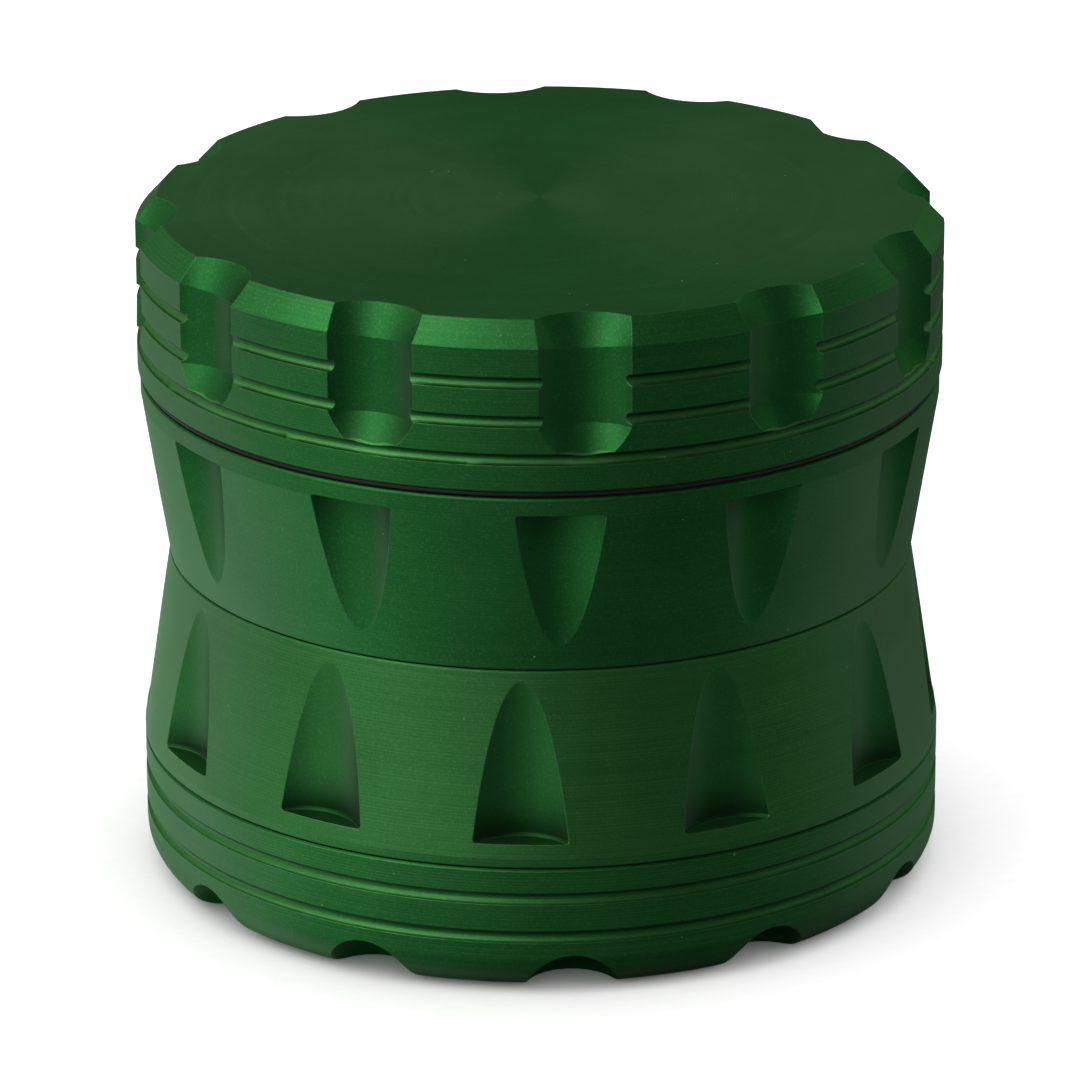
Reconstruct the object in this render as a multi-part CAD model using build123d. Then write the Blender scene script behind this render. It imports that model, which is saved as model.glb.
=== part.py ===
from build123d import *
import math
import os

# Four-piece hand grinder for dried herbs and spices, turned and milled from aluminium bar.
# Millimetres, +Z up. The origin is the centre of the flat underside, and +Z is the common axis.
# From the bottom: base cup, storage chamber with a fine screen, grinding chamber, lid.
# Each joint between cups is a three-start right-hand thread; the lid turns on a slippery ring.
# R_ names are radii from the axis and Z_ names are heights.
# A CLOCK turns a ring of features, in degrees from -Y towards +X.

os.makedirs("parts", exist_ok=True)

# ---------------------------------------------------------------- shared sizes
R_OUTER = 31.5  # lid, base and the wide end of the storage chamber
HEIGHT = 53.83  # closed grinder
GRIP_COUNT = 12  # grip cuts round each ring
OVERCUT = 1.0  # cutters run this far past the metal

JOINT_GAP = 0.07  # between screwed-up cups
Z_BASE_TOP = 10.36
Z_STORE_BOTTOM = Z_BASE_TOP + JOINT_GAP  # shoulder
Z_STORE_TOP = 25.66  # rim, at the waist
Z_GRIND_BOTTOM = Z_STORE_TOP + JOINT_GAP  # shoulder
Z_GRIND_TOP = 40.24
Z_LID_BOTTOM = 40.75
R_WAIST = 29.26
WAIST_BREAK = 0.12  # broken edges where the chambers meet

# threads: root and crest radii; one turn lifts by the lead
THREAD_LEAD, THREAD_STARTS = 6.0, 3
THREAD_CLEARANCE = 0.15
R_MALE_ROOT, R_MALE_CREST = 26.40, 27.15
R_FEMALE_CREST = R_MALE_ROOT + THREAD_CLEARANCE
R_FEMALE_ROOT = R_MALE_CREST + THREAD_CLEARANCE
RIDGE_HALF_ROOT, RIDGE_HALF_CREST = 0.50, 0.20  # half widths of a ridge
RIDGE_BITE = 0.25  # how far a ridge is sunk into the wall
FEMALE_TURN = 60.0  # half a start, so that the ridges of the two threads interleave
MALE_CHAMFER = 0.3  # at the lower end of a male thread

# central posts of the lid and grinding chamber, each holding a disc magnet
R_POST, POST_ROUND, POST_CHAMFER = 5.6, 0.6, 0.4
MAGNET_R, MAGNET_T, MAGNET_BREAK = 4.0, 3.0, 0.25
MAGNET_END_GAP = 0.04
R_POCKET = MAGNET_R + 0.03
POCKET_DEPTH = MAGNET_T + 2 * MAGNET_END_GAP

# teeth are lozenges seen from above, sunk into the floor or ceiling
TOOTH_HALF_RADIAL, TOOTH_HALF_LONG, TOOTH_SUNK = 1.35, 2.5, 1.0


# ---------------------------------------------------------------- helpers
def turned(points):
    """Revolve a closed outline of (radius, height) points and ('arc', middle, end) steps."""
    edges, at = [], points[0]
    for step in points[1:]:
        if step[0] == "arc":
            middle, end = step[1:]
            edges.append(ThreePointArc(*[(x, 0, z) for x, z in (at, middle, end)]))
            at = end
        else:
            edges.append(Line((at[0], 0, at[1]), (step[0], 0, step[1])))
            at = step
    if at != points[0]:
        edges.append(Line((at[0], 0, at[1]), (points[0][0], 0, points[0][1])))
    return revolve(make_face(Wire(edges)), axis=Axis.Z, revolution_arc=360)


def corner(x, z, radius, start, end):
    """Arc step for a round corner about (x, z), between two angles in degrees."""

    def on_arc(degrees):
        angle = math.radians(degrees)
        return (x + radius * math.cos(angle), z + radius * math.sin(angle))

    return ("arc", on_arc((start + end) / 2), on_arc(end))


def at_angle(shape, degrees):
    """Turn about Z so that what lay on +X lies at this angle from -Y towards +X."""
    return Rot(0, 0, degrees - 90) * shape


def ring_of(shape, count, clock):
    return [at_angle(shape, clock + 360 * i / count) for i in range(count)]


def rod(axis_r, radius, z_low, z_high):
    upright = Cylinder(radius, z_high - z_low, align=(Align.CENTER, Align.CENTER, Align.MIN))
    return Pos(axis_r, 0, z_low) * upright


def scoop(inner_r, radius, z_low, z_high, round_low):
    """Upright round cutter reaching in to inner_r, with its low or high end edge rounded."""
    edge = 0.3
    flat = radius - edge
    if round_low:
        points = [
            (0, z_low), (flat, z_low), corner(flat, z_low + edge, edge, -90, 0),
            (radius, z_high), (0, z_high),
        ]
    else:
        points = [
            (0, z_low), (radius, z_low), (radius, z_high - edge),
            corner(flat, z_high - edge, edge, 0, 90), (0, z_high),
        ]
    return Pos(inner_r + radius, 0, 0) * turned(points)


def thread_ridges(r_root, r_crest, z_low, z_high, clock):
    """Ridges of the thread between two heights, standing from r_root to r_crest."""
    rise = r_crest - r_root
    bite = math.copysign(RIDGE_BITE, rise)
    start_z = z_low - OVERCUT
    height = z_high - z_low + 2 * OVERCUT
    helix = Helix(pitch=THREAD_LEAD, height=height, radius=r_root, center=(0, 0, start_z))
    slope = (RIDGE_HALF_ROOT - RIDGE_HALF_CREST) / abs(rise)
    sunk_half = RIDGE_HALF_ROOT + slope * RIDGE_BITE
    frame = Plane(origin=helix @ 0, x_dir=(1, 0, 0), z_dir=helix % 0)
    section = frame * make_face(
        Polyline(
            (-bite, -sunk_half, 0), (rise, -RIDGE_HALF_CREST, 0),
            (rise, RIDGE_HALF_CREST, 0), (-bite, sunk_half, 0), close=True,
        )
    )
    ridge = sweep(sections=section, path=helix, is_frenet=True)
    keep = rod(0, R_OUTER + 5, z_low, z_high)
    # turned so that every thread lies on one shared helix through z = 0
    turn = 360.0 * start_z / THREAD_LEAD + clock
    return [
        (Rot(0, 0, turn + 360.0 * i / THREAD_STARTS) * ridge) & keep
        for i in range(THREAD_STARTS)
    ]


def female_thread(z_low, z_high):
    return thread_ridges(R_FEMALE_ROOT, R_FEMALE_CREST, z_low, z_high, FEMALE_TURN)


def male_thread(z_low, z_high):
    return thread_ridges(R_MALE_ROOT, R_MALE_CREST, z_low, z_high, 0.0)


def teeth(rings, z_low, z_high):
    found = []
    for ring_r, count, clock in rings:
        outline = make_face(
            Polyline(
                (ring_r - TOOTH_HALF_RADIAL, 0, 0), (ring_r, -TOOTH_HALF_LONG, 0),
                (ring_r + TOOTH_HALF_RADIAL, 0, 0), (ring_r, TOOTH_HALF_LONG, 0), close=True,
            )
        )
        tooth = Pos(0, 0, z_low) * extrude(outline, z_high - z_low)
        found += ring_of(tooth, count, clock)
    return found


def post_steps(z_root, z_end):
    """Outline of a post and its magnet pocket, from the round at its root to the axis."""
    way = 1 if z_end > z_root else -1
    z_pocket = z_end - way * POCKET_DEPTH
    r_foot = R_POST + POST_ROUND
    return [
        (r_foot, z_root),
        corner(r_foot, z_root + way * POST_ROUND, POST_ROUND, 180 + 90 * way, 180),
        (R_POST, z_end - way * POST_CHAMFER), (R_POST - POST_CHAMFER, z_end),
        (R_POCKET, z_end), (R_POCKET, z_pocket), (0, z_pocket),
    ]


def magnet(z_low):
    """Disc magnet with its edges broken."""
    return chamfer(rod(0, MAGNET_R, z_low, z_low + MAGNET_T).edges(), MAGNET_BREAK)


def grooves(heights, outset, radius):
    """Round grooves in the wall, their section centred this far outside it."""
    return [Pos(0, 0, z) * Torus(R_OUTER + outset, radius) for z in heights]


def save(shape, name):
    solids = shape.solids()
    out = solids[0] if len(solids) == 1 else Compound(children=list(solids))
    export_step(out, f"parts/{name}.step")


# ---------------------------------------------------------------- base cup
BASE_CLOCK = 4.38
R_BOWL, BOWL_ROUND = 25.0, 2.2
Z_BASE_FLOOR, Z_BASE_LEDGE = 2.0, 5.9
BASE_EDGE = 3.1  # radius round the bottom edge
BASE_GROOVES = (7.93, 4.79)
BASE_GROOVE_R, BASE_GROOVE_OUT = 0.52, 0.14
NOTCH_R, NOTCH_Z = 3.65, -0.41  # foot notch: its round section and axis height
NOTCH_BALL_AT = 30.1  # radius at which its ball end is centred
NOTCH_LENGTH = 6


def base_cup():
    rim_break, mouth, ledge_round = 0.18, 0.35, 0.35
    cup = turned([
        (0, 0), (R_OUTER - BASE_EDGE, 0),
        corner(R_OUTER - BASE_EDGE, BASE_EDGE, BASE_EDGE, -90, 0),
        (R_OUTER, Z_BASE_TOP - rim_break), (R_OUTER - rim_break, Z_BASE_TOP),
        (R_FEMALE_ROOT + mouth, Z_BASE_TOP), (R_FEMALE_ROOT, Z_BASE_TOP - mouth),
        (R_FEMALE_ROOT, Z_BASE_LEDGE), (R_BOWL + ledge_round, Z_BASE_LEDGE),
        corner(R_BOWL + ledge_round, Z_BASE_LEDGE - ledge_round, ledge_round, 90, 180),
        (R_BOWL, Z_BASE_FLOOR + BOWL_ROUND),
        corner(R_BOWL - BOWL_ROUND, Z_BASE_FLOOR + BOWL_ROUND, BOWL_ROUND, 0, -90),
        (0, Z_BASE_FLOOR),
    ])
    cup = cup - grooves(BASE_GROOVES, BASE_GROOVE_OUT, BASE_GROOVE_R)
    place = Pos(NOTCH_BALL_AT, 0, NOTCH_Z)
    bar = Cylinder(NOTCH_R, NOTCH_LENGTH, align=(Align.CENTER, Align.CENTER, Align.MIN))
    notch = place * Sphere(NOTCH_R) + place * Rot(0, 90, 0) * bar
    cup = cup - ring_of(notch, GRIP_COUNT, BASE_CLOCK)
    return cup + female_thread(6.4, 9.9)


# ---------------------------------------------------------------- storage chamber
STORE_CLOCK = -2.90
Z_STORE_TAPER = 11.2  # the cone up to the waist starts here
STORE_SCOOP_R, R_STORE_SCOOP_IN, Z_STORE_SCOOP = 4.84, 29.37, 12.34
R_STORE_BORE, STORE_BORE_ROUND, Z_STORE_ROUND = 26.0, 4.0, 15.1
R_SHELF, Z_SHELF, Z_SHELF_TOP = 23.2, 9.9, 11.1
R_SCREEN_SEAT = 25.1
Z_STORE_SKIRT, Z_STORE_THREAD_FLOOR = 6.3, 20.9
Z_SNAP, R_SNAP, SNAP_WIRE_R = 8.52, 25.12, 0.45


def storage_chamber():
    shoulder_break, mouth, ledge_round, skirt_chamfer = 0.15, 0.3, 0.3, 0.25
    chamber = turned([
        (R_MALE_ROOT, Z_STORE_BOTTOM), (R_OUTER - shoulder_break, Z_STORE_BOTTOM),
        (R_OUTER, Z_STORE_BOTTOM + shoulder_break), (R_OUTER, Z_STORE_TAPER),
        (R_WAIST, Z_STORE_TOP - WAIST_BREAK), (R_WAIST - WAIST_BREAK, Z_STORE_TOP),
        (R_FEMALE_ROOT + mouth, Z_STORE_TOP), (R_FEMALE_ROOT, Z_STORE_TOP - mouth),
        (R_FEMALE_ROOT, Z_STORE_THREAD_FLOOR),
        (R_STORE_BORE + ledge_round, Z_STORE_THREAD_FLOOR),
        corner(R_STORE_BORE + ledge_round, Z_STORE_THREAD_FLOOR - ledge_round,
               ledge_round, 90, 180),
        (R_STORE_BORE, Z_STORE_ROUND),
        corner(R_STORE_BORE - STORE_BORE_ROUND, Z_STORE_ROUND, STORE_BORE_ROUND, 0, -44),
        (R_SHELF, Z_SHELF_TOP), (R_SHELF, Z_SHELF), (R_SCREEN_SEAT, Z_SHELF),
        (R_SCREEN_SEAT, Z_STORE_SKIRT + skirt_chamfer),
        (R_SCREEN_SEAT + skirt_chamfer, Z_STORE_SKIRT),
        (R_MALE_ROOT - MALE_CHAMFER, Z_STORE_SKIRT), (R_MALE_ROOT, Z_STORE_SKIRT + MALE_CHAMFER),
    ])
    cutter = scoop(R_STORE_SCOOP_IN, STORE_SCOOP_R, Z_STORE_SCOOP, Z_STORE_TOP + OVERCUT, True)
    chamber = chamber - ring_of(cutter, GRIP_COUNT, STORE_CLOCK)
    chamber = chamber - (Pos(0, 0, Z_SNAP) * Torus(R_SNAP, SNAP_WIRE_R + 0.06))
    chamber = chamber + female_thread(21.4, 25.2)
    return chamber + male_thread(6.8, 10.1)


# ---------------------------------------------------------------- screen
# woven mesh, its folded rim and the split wire ring that holds them up against the shelf
R_MESH, Z_MESH_LOW, Z_MESH_HIGH = 24.3, 9.34, 9.56
R_RIM_IN, RIM_ROUND = 23.35, 0.2
R_RIM_OUT = R_SCREEN_SEAT - 0.05
Z_RIM_LOW, Z_RIM_HIGH = 9.05, Z_SHELF - 0.05
SNAP_SPLIT, SNAP_SPLIT_CLOCK = 7.0, 140


def screen_rim():
    r_flat, r_fold = R_RIM_OUT - RIM_ROUND, R_MESH + 0.06
    z_fold_low, z_fold_high = Z_MESH_LOW - 0.02, Z_MESH_HIGH + 0.02
    return turned([
        (R_RIM_IN, Z_RIM_LOW), (r_flat, Z_RIM_LOW),
        corner(r_flat, Z_RIM_LOW + RIM_ROUND, RIM_ROUND, -90, 0),
        (R_RIM_OUT, Z_RIM_HIGH - RIM_ROUND),
        corner(r_flat, Z_RIM_HIGH - RIM_ROUND, RIM_ROUND, 0, 90),
        (R_RIM_IN, Z_RIM_HIGH), (R_RIM_IN, z_fold_high), (r_fold, z_fold_high),
        (r_fold, z_fold_low), (R_RIM_IN, z_fold_low),
    ])


def snap_ring():
    wire = Pos(0, 0, Z_SNAP) * Torus(R_SNAP, SNAP_WIRE_R)
    return wire - at_angle(Pos(R_SNAP, 0, Z_SNAP) * Box(4, SNAP_SPLIT, 3), SNAP_SPLIT_CLOCK)


# ---------------------------------------------------------------- grinding chamber
GRIND_CLOCK = 2.77
R_GRIND_TOP, Z_GRIND_TAPER = 31.3, 38.7  # the waist's cone ends here
GRIND_SCOOP_R, R_GRIND_SCOOP_IN, Z_GRIND_SCOOP = 4.65, 29.57, 38.84
Z_FLOOR_UNDER, Z_FLOOR = 28.2, 31.5
R_SKIRT_BORE, Z_GRIND_SKIRT = 24.6, 21.2
R_GRIND_SEAT, Z_GRIND_SEAT, R_GRIND_BORE = 27.5, 36.3, 25.6
Z_POST_TOP, Z_GRIND_TOOTH_END = 40.0, 45.5
# (ring radius, count, clock); in both sets of teeth every ring but the lid's
# innermost leaves a gap on +X when the lid is at rest, so herb has room between them
GRIND_TEETH = ((12.6, 6, 0.0), (19.8, 10, 0.0))
# (ring radius, count, clock, hole radius)
DROP_HOLES = ((8.5, 6, 30.0, 1.9), (16.2, 12, 15.0, 2.0), (22.7, 18, 10.0, 1.4))


def grinding_chamber():
    under_round, skirt_chamfer, rim_round, mouth = 0.4, 0.25, 0.25, 0.3
    seat_round, floor_round = 0.4, 0.8
    chamber = turned([
        (0, Z_FLOOR_UNDER), (R_SKIRT_BORE - under_round, Z_FLOOR_UNDER),
        corner(R_SKIRT_BORE - under_round, Z_FLOOR_UNDER - under_round, under_round, 90, 0),
        (R_SKIRT_BORE, Z_GRIND_SKIRT + skirt_chamfer),
        (R_SKIRT_BORE + skirt_chamfer, Z_GRIND_SKIRT),
        (R_MALE_ROOT - MALE_CHAMFER, Z_GRIND_SKIRT), (R_MALE_ROOT, Z_GRIND_SKIRT + MALE_CHAMFER),
        (R_MALE_ROOT, Z_GRIND_BOTTOM), (R_WAIST - WAIST_BREAK, Z_GRIND_BOTTOM),
        (R_WAIST, Z_GRIND_BOTTOM + WAIST_BREAK),
        (R_GRIND_TOP, Z_GRIND_TAPER), (R_GRIND_TOP, Z_GRIND_TOP - rim_round),
        corner(R_GRIND_TOP - rim_round, Z_GRIND_TOP - rim_round, rim_round, 0, 90),
        (R_GRIND_SEAT + mouth, Z_GRIND_TOP), (R_GRIND_SEAT, Z_GRIND_TOP - mouth),
        (R_GRIND_SEAT, Z_GRIND_SEAT), (R_GRIND_BORE + seat_round, Z_GRIND_SEAT),
        corner(R_GRIND_BORE + seat_round, Z_GRIND_SEAT - seat_round, seat_round, 90, 180),
        (R_GRIND_BORE, Z_FLOOR + floor_round),
        corner(R_GRIND_BORE - floor_round, Z_FLOOR + floor_round, floor_round, 0, -90),
        *post_steps(Z_FLOOR, Z_POST_TOP),
    ])
    cutter = scoop(
        R_GRIND_SCOOP_IN, GRIND_SCOOP_R, Z_GRIND_BOTTOM - OVERCUT, Z_GRIND_SCOOP, False
    )
    chamber = chamber - ring_of(cutter, GRIP_COUNT, GRIND_CLOCK)
    holes = []
    for ring_r, count, clock, hole_r in DROP_HOLES:
        hole = rod(ring_r, hole_r, Z_FLOOR_UNDER - OVERCUT, Z_FLOOR + OVERCUT)
        holes += ring_of(hole, count, clock)
    chamber = chamber - holes
    chamber = chamber + teeth(GRIND_TEETH, Z_FLOOR - TOOTH_SUNK, Z_GRIND_TOOTH_END)
    return chamber + male_thread(21.6, 25.3)


# ---------------------------------------------------------------- lid
LID_CLOCK = 6.13
CHAMFER_R, CHAMFER_Z = 1.64, 1.79
LID_GROOVES = (49.34, 46.32, 43.33)
LID_GROOVE_R, LID_GROOVE_OUT = 0.475, 0.02
FLUTE_R, R_FLUTE_AXIS, Z_FLUTE_LOW = 4.6, 34.3, 45.64  # upright above this height
FLUTE_RUNOUT = 0.654  # below it the flute leans outwards by this much per mm
# countersunk mouth: its radius at a height, and its growth per mm
R_MOUTH_AXIS, MOUTH_R, MOUTH_Z, MOUTH_SLOPE = 33.38, 4.07, 52.1, 0.65
MOUTH_BELOW = 2.0  # the mouth's cone starts this far below MOUTH_Z
Z_CEILING, R_LID_BORE = 50.6, 25.0
R_LID_SPIGOT, Z_LID_SPIGOT = 26.8, 36.7
Z_LID_POST_END, Z_LID_TOOTH_END = 40.4, 34.5
LID_TEETH = ((9.0, 4, 12.0), (16.2, 8, 22.5), (23.15, 12, 15.0))  # as GRIND_TEETH


def flute_cutters():
    shaft = rod(R_FLUTE_AXIS, FLUTE_R, Z_FLUTE_LOW, HEIGHT + OVERCUT)
    section = Pos(R_FLUTE_AXIS, 0, Z_FLUTE_LOW) * Circle(FLUTE_R)
    runout = extrude(section, amount=5.0, dir=(FLUTE_RUNOUT, 0, -1))
    above = HEIGHT + OVERCUT - MOUTH_Z
    mouth = Pos(R_MOUTH_AXIS, 0, MOUTH_Z - MOUTH_BELOW) * Cone(
        MOUTH_R - MOUTH_BELOW * MOUTH_SLOPE, MOUTH_R + above * MOUTH_SLOPE,
        above + MOUTH_BELOW, align=(Align.CENTER, Align.CENTER, Align.MIN),
    )
    return shaft, runout, mouth


def lid():
    rim_break, spigot_chamfer, bore_chamfer, ceiling_round = 0.2, 0.3, 0.2, 1.0
    cap = turned([
        (0, HEIGHT), (R_OUTER - CHAMFER_R, HEIGHT), (R_OUTER, HEIGHT - CHAMFER_Z),
        (R_OUTER, Z_LID_BOTTOM + rim_break), (R_OUTER - rim_break, Z_LID_BOTTOM),
        (R_LID_SPIGOT, Z_LID_BOTTOM), (R_LID_SPIGOT, Z_LID_SPIGOT + spigot_chamfer),
        (R_LID_SPIGOT - spigot_chamfer, Z_LID_SPIGOT),
        (R_LID_BORE + bore_chamfer, Z_LID_SPIGOT), (R_LID_BORE, Z_LID_SPIGOT + bore_chamfer),
        (R_LID_BORE, Z_CEILING - ceiling_round),
        corner(R_LID_BORE - ceiling_round, Z_CEILING - ceiling_round, ceiling_round, 0, 90),
        *post_steps(Z_CEILING, Z_LID_POST_END),
    ])
    cap = cap - grooves(LID_GROOVES, LID_GROOVE_OUT, LID_GROOVE_R)
    # the seam is turned to lie half way between two flutes, so that no flute is cut across it
    cap = Rot(0, 0, LID_CLOCK + 180 / GRIP_COUNT) * cap
    for cutter in flute_cutters():
        cap = cap - ring_of(cutter, GRIP_COUNT, LID_CLOCK)
    return cap + teeth(LID_TEETH, Z_LID_TOOTH_END, Z_CEILING + TOOTH_SUNK)


# ---------------------------------------------------------------- friction ring
def friction_ring():
    """Flange between the rims, with a sleeve down between the spigot and its seat."""
    face_gap, sleeve_gap, chamfer_size = 0.04, 0.06, 0.15
    r_in, r_sleeve = R_LID_SPIGOT + sleeve_gap, R_GRIND_SEAT - sleeve_gap
    r_flange, r_bulge, z_sleeve = 30.92, 31.2, 37.3
    z_high, z_low = Z_LID_BOTTOM - face_gap, Z_GRIND_TOP + face_gap
    return turned([
        (r_in, z_high), (r_flange, z_high),
        ("arc", (r_bulge, (z_high + z_low) / 2), (r_flange, z_low)),
        (r_sleeve, z_low), (r_sleeve, z_sleeve + chamfer_size),
        (r_sleeve - chamfer_size, z_sleeve), (r_in, z_sleeve),
    ])


save(base_cup(), "base_cup")
save(storage_chamber(), "storage_chamber")
save(rod(0, R_MESH, Z_MESH_LOW, Z_MESH_HIGH), "screen_mesh")
save(screen_rim(), "screen_rim")
save(snap_ring(), "screen_snap_ring")
save(grinding_chamber(), "grinding_chamber")
save(magnet(Z_POST_TOP - MAGNET_T - MAGNET_END_GAP), "chamber_magnet")
save(friction_ring(), "friction_ring")
save(lid(), "lid")
save(magnet(Z_LID_POST_END + MAGNET_END_GAP), "lid_magnet")
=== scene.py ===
import math

import bmesh
import bpy
from mathutils import Matrix, Vector

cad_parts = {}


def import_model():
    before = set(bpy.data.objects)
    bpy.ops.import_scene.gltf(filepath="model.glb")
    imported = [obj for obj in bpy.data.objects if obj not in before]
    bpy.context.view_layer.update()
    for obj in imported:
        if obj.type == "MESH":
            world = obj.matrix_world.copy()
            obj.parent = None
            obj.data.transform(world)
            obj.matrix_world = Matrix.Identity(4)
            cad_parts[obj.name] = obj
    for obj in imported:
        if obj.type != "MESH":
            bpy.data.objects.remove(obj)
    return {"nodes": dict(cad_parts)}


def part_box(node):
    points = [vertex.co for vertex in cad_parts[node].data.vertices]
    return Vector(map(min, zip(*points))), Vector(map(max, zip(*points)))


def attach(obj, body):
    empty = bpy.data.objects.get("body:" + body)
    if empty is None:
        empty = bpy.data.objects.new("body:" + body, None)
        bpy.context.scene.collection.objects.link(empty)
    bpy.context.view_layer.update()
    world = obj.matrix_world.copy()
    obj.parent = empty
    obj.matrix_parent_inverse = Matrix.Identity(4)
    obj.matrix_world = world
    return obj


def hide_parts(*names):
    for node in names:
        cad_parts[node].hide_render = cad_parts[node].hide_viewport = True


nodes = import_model()["nodes"]
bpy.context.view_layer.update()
scene = bpy.context.scene
MM = 0.001


# ---------------------------------------------------------------- node helpers
class Net:
    """Short ways to wire the node tree of a material or a world."""

    def __init__(self, owner):
        owner.use_nodes = True
        self.owner, self.tree = owner, owner.node_tree
        self.tree.nodes.clear()

    def node(self, kind, **options):
        """_name sets a property, i0 an input by number, and Two__Words an input by name."""
        node = self.tree.nodes.new(kind)
        for key, value in options.items():
            if key.startswith("_"):
                setattr(node, key[1:], value)
        for key, value in options.items():
            if not key.startswith("_"):
                numbered = key[0] == "i" and key[1:].isdigit()
                self.put(node.inputs[int(key[1:]) if numbered else key.replace("__", " ")], value)
        return node

    def put(self, socket, value):
        if isinstance(value, bpy.types.NodeSocket):
            self.tree.links.new(value, socket)
        else:
            socket.default_value = value

    def fill(self, node, values):
        for socket, value in zip(node.inputs, values):
            self.put(socket, value)
        return node.outputs[0]

    def math(self, operation, a, b=0.0, c=0.0, clamp=False):
        node = self.node("ShaderNodeMath", _operation=operation, _use_clamp=clamp)
        return self.fill(node, (a, b, c))

    def add(self, a, b, clamp=False):
        return self.math("ADD", a, b, clamp=clamp)

    def sub(self, a, b):
        return self.math("SUBTRACT", a, b)

    def mul(self, a, b, clamp=False):
        return self.math("MULTIPLY", a, b, clamp=clamp)

    def div(self, a, b):
        return self.math("DIVIDE", a, b)

    def fit(self, value, by, plus):
        return self.math("MULTIPLY_ADD", value, by, plus)

    def lerp(self, value, span, to=(0.0, 1.0), **settings):
        """Carries the range span over to the range to, and holds the ends."""
        node = self.node("ShaderNodeMapRange", _clamp=True, **settings)
        return self.fill(node, (value, *span, *to))

    def ramp(self, value, span, to=(0.0, 1.0)):
        """As lerp, with soft ends."""
        return self.lerp(value, span, to, _interpolation_type="SMOOTHSTEP")

    def mix(self, amount, a, b):
        return self.node("ShaderNodeMix", _data_type="RGBA", i0=amount, i6=a, i7=b).outputs[2]

    def tint(self, colour, to, where, by):
        """Moves colour towards another, by a share of the mask where."""
        return self.mix(self.mul(where, by), colour, to)

    def noise(self, vector, scale=1.0, detail=2.0, rough=0.5):
        return self.node(
            "ShaderNodeTexNoise", Vector=vector, Scale=scale, Detail=detail, Roughness=rough
        ).outputs[0]

    def vec(self, x, y, z):
        return self.node("ShaderNodeCombineXYZ", X=x, Y=y, Z=z).outputs[0]

    def separate(self, vector):
        return tuple(self.node("ShaderNodeSeparateXYZ", Vector=vector).outputs)

    def coord(self, output):
        return self.node("ShaderNodeTexCoord").outputs[output]

    def scaled(self, vector, scale):
        return self.node(
            "ShaderNodeVectorMath", _operation="SCALE", i0=vector, Scale=scale
        ).outputs[0]

    def dot(self, a, b):
        return self.node(
            "ShaderNodeVectorMath", _operation="DOT_PRODUCT", i0=a, i1=b
        ).outputs["Value"]

    def place(self):
        """Position in the piece's own frame in mm: vector, x, y and z."""
        place = self.scaled(self.coord("Object"), 1 / MM)
        return place, *self.separate(place)

    def radius(self, x, y):
        """Distance from the axis."""
        return self.math("SQRT", self.add(self.mul(x, x), self.mul(y, y)))

    def rounded(self, radius_mm):
        """The normal with its edges rounded."""
        return self.node("ShaderNodeBevel", _samples=4, Radius=radius_mm * MM).outputs[0]

    def edge(self, rounded):
        """1 on a convex or concave edge, and 0 on a flat or smoothly curved face."""
        normal = self.node("ShaderNodeNewGeometry").outputs["Normal"]
        return self.ramp(self.dot(rounded, normal), span=(0.995, 0.86))

    def bump(self, height, distance_mm, strength, normal):
        return self.node(
            "ShaderNodeBump",
            Strength=strength, Distance=distance_mm * MM, Height=height, Normal=normal,
        ).outputs[0]

    def around(self):
        """The direction round the axis."""
        return self.node("ShaderNodeTangent", _direction_type="RADIAL", _axis="Z").outputs[0]

    def stops(self, factor, values, tint=(1.0, 1.0, 1.0)):
        """A colour ramp through (position, brightness) pairs, times a tint."""
        node = self.node("ShaderNodeValToRGB", Fac=factor)
        elements = node.color_ramp.elements
        while len(elements) < len(values):
            elements.new(0.5)
        for element, (position, level) in zip(elements, values):
            element.position = position
            element.color = (*(level * part for part in tint), 1)
        return node.outputs[0]

    def out(self, **inputs):
        bsdf = self.node("ShaderNodeBsdfPrincipled", **inputs)
        self.node("ShaderNodeOutputMaterial", i0=bsdf.outputs[0])
        return self.owner


def material(name):
    return Net(bpy.data.materials.new(name))


# ---------------------------------------------------------------- anodised aluminium
GREEN = (0.016, 0.158, 0.032, 1)
GREEN_DEEP = (0.011, 0.130, 0.026, 1)
GREEN_LIT = (0.125, 0.345, 0.108, 1)
GREEN_MILLED = (0.006, 0.062, 0.014, 1)
# lighter green for worn edges and a painted edge highlight
GREEN_WORN_AND_LIT = (0.16, 0.42, 0.15, 1)
# painted shade for scoop walls by their ledges
LEDGE_SHADE = (0.003, 0.022, 0.006, 1)
# painted shade for the upper halves of grooves
GROOVE_SHADE = (0.002, 0.016, 0.004, 1)
DUST = (0.32, 0.42, 0.30, 1)
# grey for a painted reflection where the surface is seen at a slant
SLANT_REFLECTION_GREY = (0.36, 0.45, 0.38, 1)
# green for a painted sheen on turned flat faces
SHEEN = (0.30, 0.56, 0.30, 1)

GROOVE_DEPTH = 0.44  # mm, as are the next two
GROOVE_EDGE = (0.56, 0.50)  # half width, where the mask starts and where it is full
FEED = 0.25  # distance between turning lines


def turned_depth(net, z, r, profile):
    """How far the surface lies inside the turned outline."""
    outline = None
    for (z0, r0), (z1, r1) in zip(profile, profile[1:]):
        piece = net.lerp(z, span=(z0, z1), to=(0.0, r1 - r0))
        outline = net.add(piece, r0) if outline is None else net.add(outline, piece)
    return net.sub(outline, r)


def groove_band(net, z, grooves):
    """1 at the heights of the turned grooves."""
    band = 0.0
    for height in grooves:
        off = net.math("ABSOLUTE", net.sub(z, height))
        band = net.math("MAXIMUM", band, net.ramp(off, span=GROOVE_EDGE))
    return band


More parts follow.
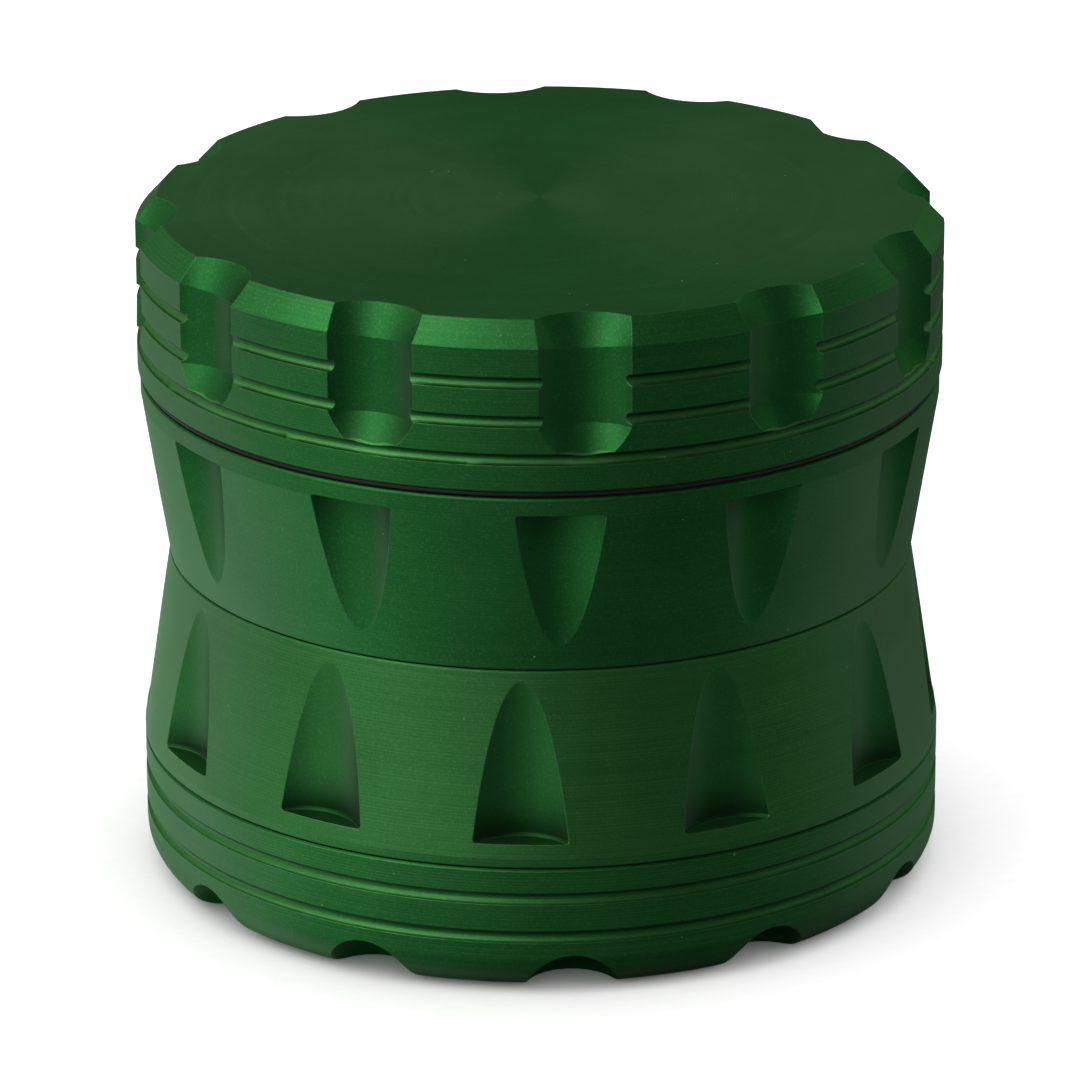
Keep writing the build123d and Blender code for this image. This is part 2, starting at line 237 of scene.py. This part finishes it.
def turning_lines(net, x, y, z, r, flat, milled, seed):
    """Lines round the axis: long along the angle, fine across it. Gives lines, fine, coarse."""
    round_x, round_y = (net.div(c, net.math("MAXIMUM", r, 0.5)) for c in (x, y))
    across = net.add(net.mul(r, flat), net.mul(z, net.sub(1.0, flat)))

    def streaks(along, rate, shift, **look):
        height = net.add(net.mul(across, rate), shift)
        return net.noise(net.vec(net.mul(round_x, along), net.mul(round_y, along), height), **look)

    fine = streaks(along=0.55, rate=6.5, shift=seed, detail=3.0, rough=0.62)
    coarse = streaks(along=0.5, rate=1.3, shift=seed * 3.1)
    # the tool's feed lines waver a little, and are stronger in some bands than in others
    wavering = net.add(across, net.mul(fine, 0.16))
    feed = net.math("SINE", net.mul(wavering, 2 * math.pi / FEED))
    strength = net.fit(net.ramp(coarse, span=(0.32, 0.68)), by=0.26, plus=0.07)
    feed = net.fit(net.mul(feed, strength), by=0.5, plus=0.5)
    lines = net.fit(net.sub(fine, 0.5), by=0.66, plus=feed)
    return net.mul(lines, net.sub(1.0, milled)), fine, coarse


def dust_specks(net, place):
    """A few pale specks, one in some of the cells."""
    cell = net.node("ShaderNodeTexVoronoi", Vector=place, Scale=0.72, Randomness=1.0)
    pick = net.node("ShaderNodeSeparateColor", Color=cell.outputs["Color"]).outputs
    size = net.fit(net.mul(pick[1], pick[1]), by=0.052, plus=0.022)
    inside = net.math("LESS_THAN", cell.outputs["Distance"], size)
    return net.mul(inside, net.math("GREATER_THAN", pick[0], 0.48))


def painted_slant_reflection(net, colour, normal_z, milled):
    """Painted reflection: the colour is greyed where the surface is seen at a slant, standing in
    for the sealed oxide film's reflection of the pale studio.
    """
    facing = net.node("ShaderNodeLayerWeight", Blend=0.5).outputs["Facing"]
    reflection_share = net.mul(net.ramp(facing, span=(0.20, 0.65)), 0.24)
    reflection_share = net.mul(reflection_share, net.ramp(normal_z, span=(0.62, 0.18), to=(0.12, 1.0)))
    return net.tint(colour, SLANT_REFLECTION_GREY, where=reflection_share, by=net.fit(milled, by=-0.35, plus=1.0))


def painted_flat_sheen(net, colour, flat, cloud):
    """Painted sheen: two greyer lobes on turned flat faces, where the lines point at a low viewer,
    standing in for their highlight.
    """
    view = net.node("ShaderNodeNewGeometry").outputs["Incoming"]
    along = net.math("ABSOLUTE", net.dot(view, net.around()))
    steep = net.math("ABSOLUTE", net.dot(view, (0, 0, 1)))
    lobe = net.mul(net.ramp(along, span=(0.12, 0.78)), net.ramp(steep, span=(0.319, 0.304)))
    patchy = net.ramp(cloud, span=(0.25, 0.60), to=(0.75, 1.0))
    return net.tint(colour, SHEEN, where=net.mul(net.mul(lobe, flat), patchy), by=0.115)


def anodised(name, profile, seed, turning, grooves=(), contrast=1.0, lift=0.0, ledge=None):
    """Green anodised aluminium, turned on a lathe and then milled.

    profile: the turned outline. A surface further in, and not in a groove, was milled.
    turning: strength of the turning lines. grooves: heights of the turned grooves.
    contrast: strength of the groove shading. lift: share of the lighter green.
    ledge: where a scoop's shade starts, where it is full, and its strength.
    """
    net = material(name)
    place, x, y, z = net.place()
    r = net.radius(x, y)
    normal_z = net.separate(net.coord("Normal"))[2]
    flat = net.ramp(net.math("ABSOLUTE", normal_z), span=(0.72, 0.86))

    depth = turned_depth(net, z, r, profile)
    band = groove_band(net, z, grooves)
    side_cut = net.ramp(net.sub(depth, net.mul(band, GROOVE_DEPTH)), span=(0.03, 0.08))
    milled = net.mul(side_cut, net.sub(1.0, flat))
    lines, fine, coarse = turning_lines(net, x, y, z, r, flat, milled, seed)
    # milled faces carry faint marks along the cutter's own axis instead
    marks = net.noise(net.vec(net.mul(x, 2.4), net.mul(y, 2.4), net.mul(z, 0.35)))
    cutter = net.mul(marks, milled)
    blast = net.noise(place, scale=5.6, detail=3.0, rough=0.68)
    cloud = net.noise(place, scale=0.085, detail=3.0, rough=0.55)
    blot = net.noise(place, scale=0.9, detail=3.0, rough=0.6)
    rounded = net.rounded(0.10)
    # blotchy edges: partly edge wear, partly a painted edge highlight
    worn_and_lit_edge = net.mul(net.edge(rounded), net.ramp(blot, span=(0.36, 0.66)), clamp=True)
    speck = dust_specks(net, place)

    colour = net.mix(net.ramp(cloud, span=(0.30, 0.70)), GREEN_DEEP, GREEN)
    if lift:
        colour = net.mix(lift, colour, GREEN_LIT)
    ridges = net.lerp(lines, span=(0.40, 0.78))
    colour = net.tint(colour, GREEN_LIT, where=ridges, by=0.34 * turning)
    colour = net.tint(colour, GREEN_LIT, where=net.ramp(blast, span=(0.48, 0.72)), by=0.24)
    colour = net.tint(colour, GREEN_MILLED, where=milled, by=0.24)
    if ledge:
        # painted shade: the wall of a scoop is darker where it runs into its ledge, where the
        # ledge would shade it
        *span, shade = ledge
        near = net.math("POWER", net.ramp(z, span=span), 1.6)
        colour = net.tint(colour, LEDGE_SHADE, where=net.mul(milled, near), by=shade)
    # edge wear and painted edge highlight
    colour = net.tint(colour, GREEN_WORN_AND_LIT, where=worn_and_lit_edge, by=0.40)
    colour = net.tint(colour, DUST, where=speck, by=0.55)

    # painted shade and highlight: a groove is painted darker under its upper edge and lighter on
    # its lower half, where it would catch the light
    in_groove = net.mul(net.ramp(depth, span=(0.03, 0.20)), band)
    in_groove = net.mul(in_groove, net.sub(contrast, net.mul(side_cut, contrast)))
    for shade, steepest, most in ((GROOVE_SHADE, -0.45, 0.72), (GREEN_LIT, 0.60, 0.30)):
        facing = net.ramp(normal_z, span=(0.10, steepest), to=(0.0, most))
        colour = net.tint(colour, shade, where=in_groove, by=facing)
    # painted reflection, greyer at a slant
    colour = painted_slant_reflection(net, colour, normal_z, milled)
    # painted sheen on flat faces
    colour = painted_flat_sheen(net, colour, flat, cloud)

    rough = 0.40
    for part, by in (
        (net.sub(coarse, 0.5), 0.05),
        (net.sub(fine, 0.5), 0.10 * turning),
        (milled, 0.05),
    ):
        rough = net.add(rough, net.mul(part, by))
    rough = net.add(rough, net.mul(speck, 0.3), clamp=True)

    height = net.add(net.mul(lines, 1.0), net.mul(cutter, 0.4))
    tooled = net.bump(height, distance_mm=0.010, strength=0.60 * turning, normal=rounded)
    return net.out(
        Base__Color=colour,
        Metallic=1.0,
        Specular__Tint=(0.48, 0.74, 0.50, 1),
        Roughness=rough,
        Normal=net.bump(blast, distance_mm=0.012, strength=0.50, normal=tooled),
        Anisotropic=net.mul(net.sub(1.0, milled), net.fit(flat, by=-0.38, plus=0.40)),
        Tangent=net.around(),
        Coat__Weight=0.09,
        Coat__Roughness=0.45,
    )


# ---------------------------------------------------------------- other finishes
def rings(net, x, y, z, rate, **look):
    """Fine streaks round the axis."""
    r = net.radius(x, y)
    return net.noise(net.vec(net.div(x, r), net.div(y, r), net.mul(z, rate)), **look)


def nylon():
    net = material("black_nylon")
    place, x, y, z = net.place()
    grain = net.noise(place, scale=9.0, detail=3.0, rough=0.6)
    cloud = net.noise(place, scale=0.6)
    rounded = net.rounded(0.08)
    colour = net.mix(cloud, (0.0016, 0.0020, 0.0018, 1), (0.0042, 0.0050, 0.0046, 1))
    colour = net.tint(colour, (0.03, 0.033, 0.03, 1), where=net.edge(rounded), by=0.35)
    height = net.add(rings(net, x, y, z, rate=9.0), net.mul(grain, 0.5))
    return net.out(
        Base__Color=colour,
        Specular__IOR__Level=0.24,
        Roughness=net.lerp(grain, span=(0.2, 0.8), to=(0.34, 0.50)),
        Normal=net.bump(height, distance_mm=0.02, strength=0.6, normal=rounded),
    )


def nickel():
    net = material("nickel_plate")
    place, x, y, z = net.place()
    wave = net.noise(place, scale=0.8, detail=3.0)
    scratch = net.noise(net.vec(net.mul(x, 0.5), net.mul(y, 12.0), z), detail=3.0, rough=0.6)
    rounded = net.rounded(0.12)
    colour = net.mix(wave, (0.50, 0.49, 0.46, 1), (0.64, 0.63, 0.61, 1))
    colour = net.tint(colour, (0.32, 0.31, 0.29, 1), where=net.edge(rounded), by=0.5)
    return net.out(
        Base__Color=colour,
        Metallic=1.0,
        Roughness=net.lerp(scratch, span=(0.3, 0.7), to=(0.14, 0.32)),
        Normal=net.bump(scratch, distance_mm=0.004, strength=0.5, normal=rounded),
    )


def steel(name, bright_edges=True):
    net = material(name)
    place, x, y, z = net.place()
    drawn = rings(net, x, y, z, rate=14.0, detail=3.0, rough=0.6)
    spot = net.noise(place, scale=2.2, detail=3.0, rough=0.6)
    rounded = net.rounded(0.06)
    colour = net.mix(spot, (0.40, 0.40, 0.385, 1), (0.60, 0.60, 0.58, 1))
    if bright_edges:
        colour = net.tint(colour, (0.72, 0.72, 0.70, 1), where=net.edge(rounded), by=0.5)
    return net.out(
        Base__Color=colour,
        Metallic=1.0,
        Roughness=net.lerp(spot, span=(0.25, 0.75), to=(0.22, 0.40)),
        Normal=net.bump(drawn, distance_mm=0.004, strength=0.5, normal=rounded),
    )


# turned outlines: (z, radius) in mm
BODY_R = 31.5
WAIST_R = 29.26  # where the two chambers meet
LID_PROFILE = ((40.0, BODY_R), (52.04, BODY_R), (53.83, 29.86))
GRIND_PROFILE = ((25.73, WAIST_R), (38.7, 31.3))
STORE_PROFILE = ((11.2, BODY_R), (25.66, WAIST_R))
BASE_PROFILE = ((0.0, 28.3), (0.5, 29.8), (1.2, 30.75), (2.1, 31.33), (3.1, BODY_R))
LID_GROOVES = (49.34, 46.32, 43.33)
BASE_GROOVES = (7.93, 4.79)

finishes = {
    "lid": anodised(
        "anodised_lid", LID_PROFILE, seed=1.7, turning=0.35, grooves=LID_GROOVES
    ),
    "grinding_chamber": anodised(
        "anodised_grinding", GRIND_PROFILE, seed=23.9, turning=0.30, ledge=(34.0, 38.8, 0.30)
    ),
    "storage_chamber": anodised(
        "anodised_storage", STORE_PROFILE, seed=41.3, turning=0.56, lift=0.10,
        ledge=(17.0, 12.4, 0.78),
    ),
    "base_cup": anodised(
        "anodised_base", BASE_PROFILE, seed=67.1, turning=0.60, grooves=BASE_GROOVES,
        contrast=0.45,
    ),
    "friction_ring": nylon(),
    "lid_magnet": nickel(),
    "chamber_magnet": nickel(),
    "screen_rim": steel("rolled_steel"),
    "screen_snap_ring": steel("spring_wire"),
}
for piece_name, finish in finishes.items():
    slots = nodes[piece_name].data.materials
    slots.clear()
    slots.append(finish)


# ---------------------------------------------------------------- woven screen
PITCH = 0.60 * MM
STEP = PITCH / 2
WIRE_SIDES = 6


def add_wire(bm, way, off, half, sign, centre, wire):
    """One wavy wire at distance off from the middle, along x (way 0) or y (way 1)."""
    steps = int(half / STEP)
    sections = []
    for j in range(-steps, steps + 1):
        along = j * STEP
        wave = math.cos(math.pi * along / PITCH) * sign * wire
        section = []
        for q in range(WIRE_SIDES):
            angle = 2 * math.pi * q / WIRE_SIDES
            side = off + wire * math.cos(angle)
            height = centre + wave + wire * math.sin(angle)
            point = (along, side, height) if way == 0 else (side, along, height)
            section.append(bm.verts.new(point))
        sections.append(section)
    for a, b in zip(sections, sections[1:]):
        for q in range(WIRE_SIDES):
            after = (q + 1) % WIRE_SIDES
            bm.faces.new((a[q], a[after], b[after], b[q]))
    bm.faces.new(list(reversed(sections[0])))
    bm.faces.new(sections[-1])


def woven_screen():
    lo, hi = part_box("screen_mesh")
    centre, radius = (lo.z + hi.z) / 2, (hi.x - lo.x) / 2
    wire = (hi.z - lo.z) / 4.0
    bm = bmesh.new()
    count = int(radius / PITCH)
    for way in (0, 1):
        for i in range(-count, count + 1):
            off = i * PITCH
            half = math.sqrt(max(0.0, (radius - wire) ** 2 - off * off))
            if half >= 2 * PITCH:
                sign = 1 if (i + way) % 2 == 0 else -1
                # slightly thinner than the space it has
                add_wire(bm, way, off, half, sign, centre, wire * 0.98)
    bmesh.ops.recalc_face_normals(bm, faces=bm.faces)
    mesh = bpy.data.meshes.new("screen_weave")
    bm.to_mesh(mesh)
    bm.free()
    mesh.shade_smooth()
    screen = bpy.data.objects.new("screen_weave", mesh)
    scene.collection.objects.link(screen)
    mesh.materials.append(steel("woven_wire", bright_edges=False))
    return screen


weave = woven_screen()
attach(weave, "storage")
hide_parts("screen_mesh")


# ---------------------------------------------------------------- floor and world
# (position, brightness) the metal sees, from left (0) to right (1)
FLOOR_STOPS = [
    (0.0, 0.24), (0.12, 0.26), (0.30, 0.145), (0.50, 0.050), (0.70, 0.026), (0.88, 0.038),
    (1.0, 0.075),
]
FRONT_STOPS = [
    (0.0, 0.75), (0.14, 1.95), (0.32, 1.45), (0.50, 0.17), (0.72, 0.070), (0.90, 0.10),
    (1.0, 0.26),
]
BACK_STOPS = [
    (0.0, 0.60), (0.20, 0.50), (0.38, 0.24), (0.50, 0.13), (0.64, 0.22), (0.82, 0.42),
    (1.0, 0.30),
]
TOP_STOPS = [(0.0, 1.30), (0.30, 0.86), (0.50, 0.15), (0.78, 0.065), (1.0, 0.10)]
FLOOR_HALF = 6.0
DOME = 1.9  # brightness of the even dome


def floor():
    mesh = bpy.data.meshes.new("studio_floor")
    s = FLOOR_HALF
    mesh.from_pydata([(-s, -s, 0), (s, -s, 0), (s, s, 0), (-s, s, 0)], [], [(0, 1, 2, 3)])
    ground = bpy.data.objects.new("studio_floor", mesh)
    scene.collection.objects.link(ground)
    ground.location.z = -0.05 * MM
    net = material("pale_floor")
    place = net.coord("Object")
    grain = net.noise(place, scale=900.0)
    way = net.node("ShaderNodeVectorMath", _operation="NORMALIZE", i0=place).outputs[0]
    side = net.stops(net.lerp(net.separate(way)[0], span=(-1.0, 1.0)), FLOOR_STOPS)
    away = net.node("ShaderNodeVectorMath", _operation="LENGTH", i0=place).outputs["Value"]
    # reflections see a darker floor, brighter close to the piece
    reflected = net.scaled(side, net.lerp(away, span=(0.05, 0.16), to=(1.85, 1.0)))
    plain = net.mix(grain, (0.69, 0.69, 0.69, 1), (0.73, 0.73, 0.73, 1))
    glossy = net.node("ShaderNodeLightPath").outputs["Is Glossy Ray"]
    colour = net.mix(glossy, plain, reflected)
    mesh.materials.append(net.out(Base__Color=colour, Roughness=0.9, Specular__IOR__Level=0.0))


def studio():
    """White to the camera, an even dome to the floor, and soft boxes to the metal."""
    scene.world = bpy.data.worlds.new("studio")
    net = Net(scene.world)
    x, y, z = net.separate(net.coord("Generated"))
    level = net.math("SQRT", net.sub(1.0001, net.mul(z, z)))
    side = net.lerp(net.div(x, net.math("MAXIMUM", level, 0.05)), span=(-1.0, 1.0))
    front = net.stops(side, FRONT_STOPS, tint=(1.22, 0.98, 1.0))
    back = net.stops(side, BACK_STOPS, tint=(1.05, 0.98, 0.86))
    top = net.stops(net.lerp(x, span=(-0.8, 0.8)), TOP_STOPS, tint=(1.28, 0.95, 1.04))
    low = net.mix(net.ramp(y, span=(-0.25, 0.25)), front, back)
    boxes = net.mix(net.ramp(z, span=(0.42, 0.80)), low, top)
    path = net.node("ShaderNodeLightPath").outputs
    shade = net.mix(path["Is Glossy Ray"], (DOME, DOME, DOME, 1), boxes)
    shade = net.mix(path["Is Camera Ray"], shade, (1, 1, 1, 1))
    background = net.node("ShaderNodeBackground", Color=shade, Strength=1.0)
    net.node("ShaderNodeOutputWorld", i0=background.outputs[0])


floor()
studio()


# ---------------------------------------------------------------- light and camera
def aim(place, target):
    return (target - place).to_track_quat("-Z", "Y")


def key_light():
    """A soft light above, to the front left."""
    lamp = bpy.data.lights.new("key", "AREA")
    lamp.energy, lamp.color = 1.2, (1.0, 1.0, 0.97)
    lamp.shape, lamp.size, lamp.size_y = "RECTANGLE", 0.5, 0.4
    key = bpy.data.objects.new("key", lamp)
    place = Vector((-0.45, -0.30, 0.75))
    key.location = place
    key.rotation_euler = aim(place, Vector((0, 0, 0.025))).to_euler()
    scene.collection.objects.link(key)


CAM_TARGET = Vector((0, 0, 23.625 * MM))
CAM_DISTANCE = 585.8 * MM
CAM_ELEVATION = math.radians(20.4388)
CAM_ROLL = math.radians(-0.1848)


def camera():
    lens = bpy.data.cameras.new("camera")
    lens.sensor_width = 36.0
    lens.lens = 246.62
    lens.shift_x, lens.shift_y = -0.00053, 0.01959
    lens.clip_start, lens.clip_end = 0.01, 50
    cam = bpy.data.objects.new("camera", lens)
    back, up = CAM_DISTANCE * math.cos(CAM_ELEVATION), CAM_DISTANCE * math.sin(CAM_ELEVATION)
    cam.location = CAM_TARGET + Vector((0, -back, up))
    turn = aim(cam.location, CAM_TARGET).to_matrix().to_4x4()
    cam.rotation_euler = (turn @ Matrix.Rotation(CAM_ROLL, 4, "Z")).to_euler()
    scene.collection.objects.link(cam)
    scene.camera = cam


key_light()
camera()
scene.view_settings.view_transform = "Standard"
